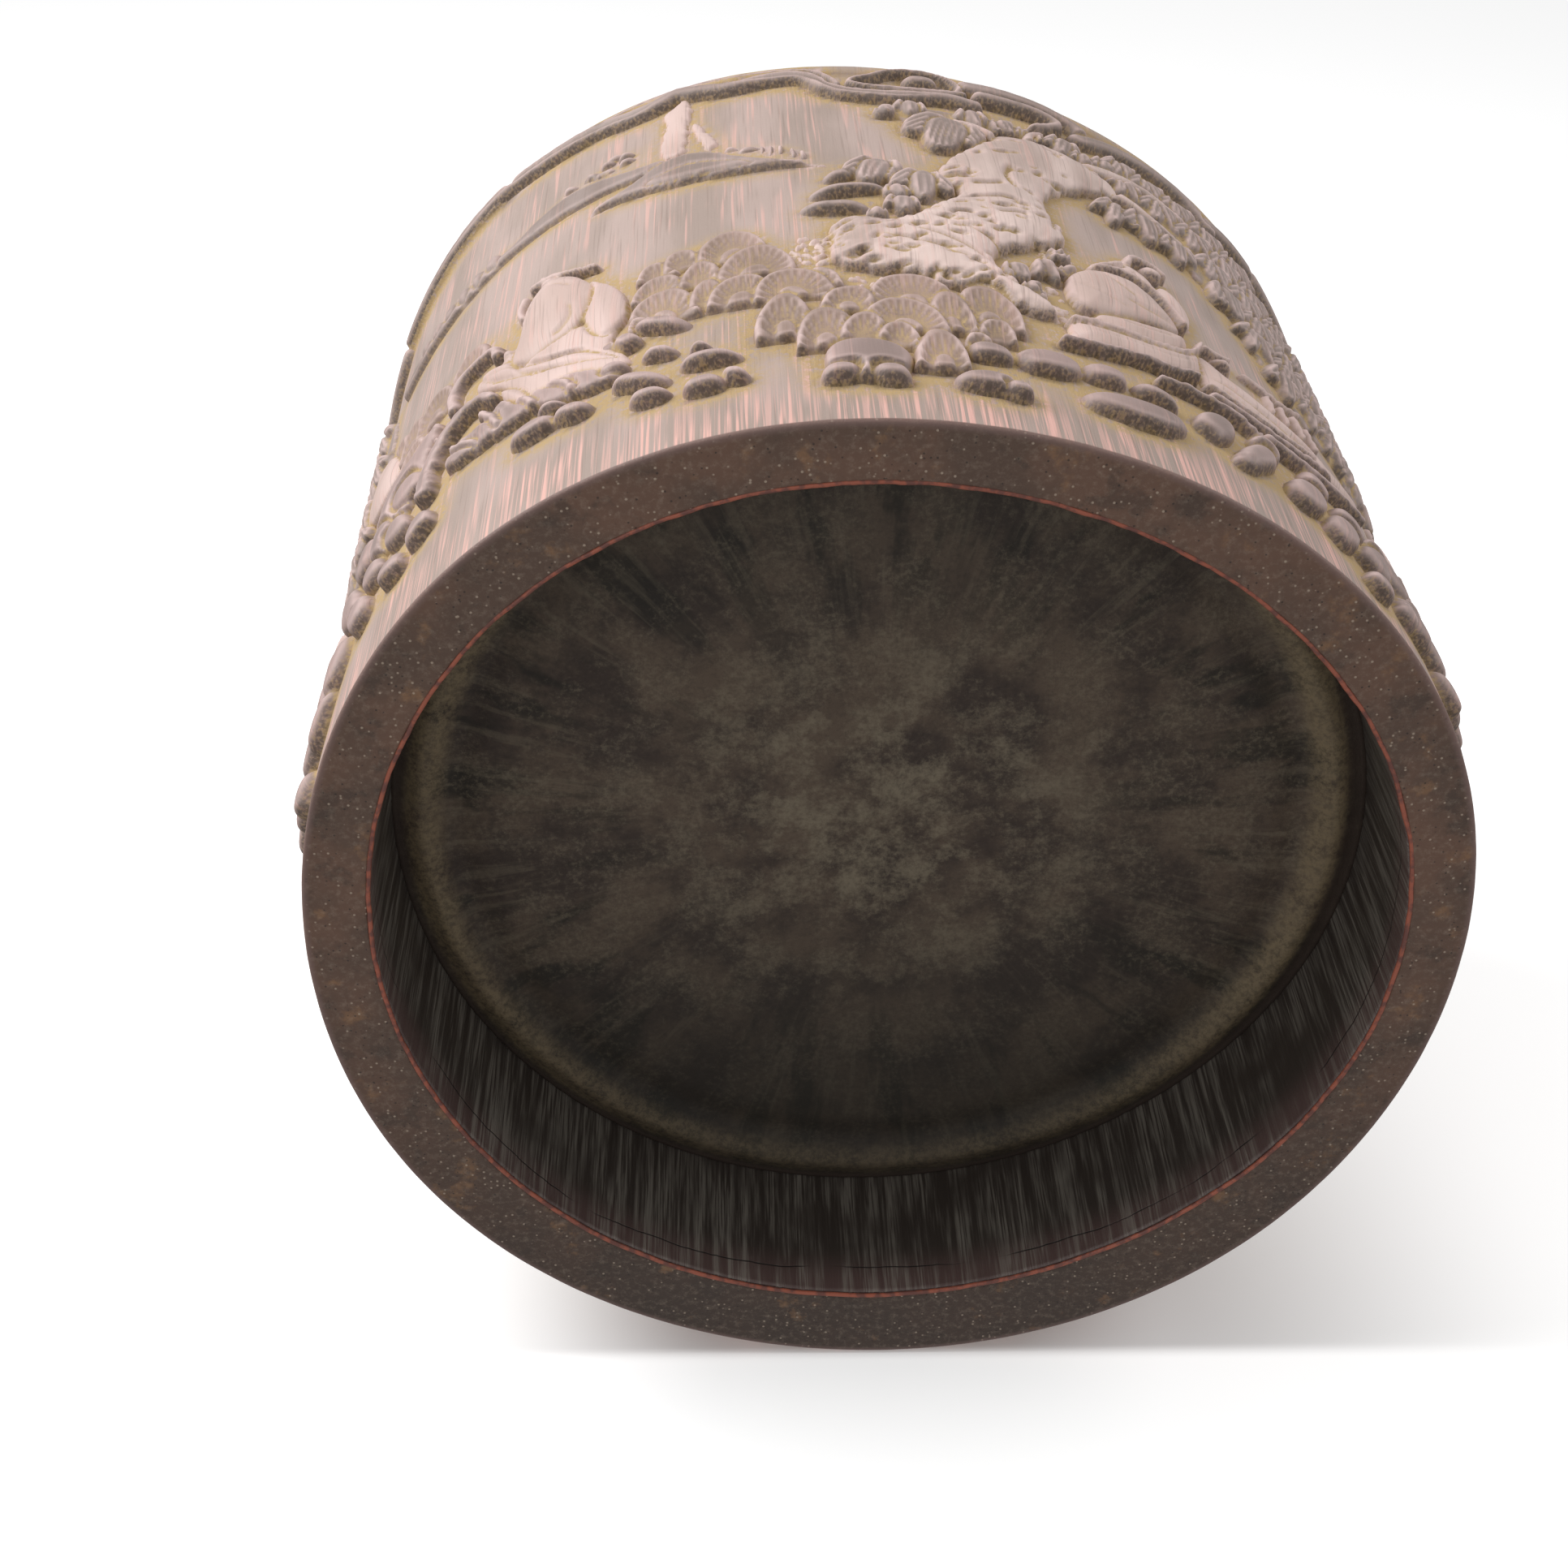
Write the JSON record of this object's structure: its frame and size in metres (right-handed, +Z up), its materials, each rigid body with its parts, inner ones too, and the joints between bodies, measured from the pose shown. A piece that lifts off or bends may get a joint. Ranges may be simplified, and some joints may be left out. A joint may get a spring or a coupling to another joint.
{
  "type": "brush holder pot",
  "caption": "Round bamboo pot with a foot recess and a wide open mouth, carved in relief with a landscape, for standing writing brushes in.",
  "frame": {"origin": "centre of the foot ring's face, which the pot stands on", "axes": "+Z up along the culm towards the mouth, -Y towards the front of the carving"},
  "size_m": [0.1459, 0.1465, 0.111],
  "materials": {
    "carved_bamboo": "polished, worn",
    "dark_bamboo": "matt, stained",
    "dark_lacquer": "satin, scraped",
    "red_lacquer": "satin"
  },
  "bodies": {
    "root": {"culm_wall": "carved_bamboo", "node_diaphragm": "dark_bamboo", "recess_lacquer": "dark_lacquer", "edge_lacquer_line": "red_lacquer"}
  },
  "joints": []
}
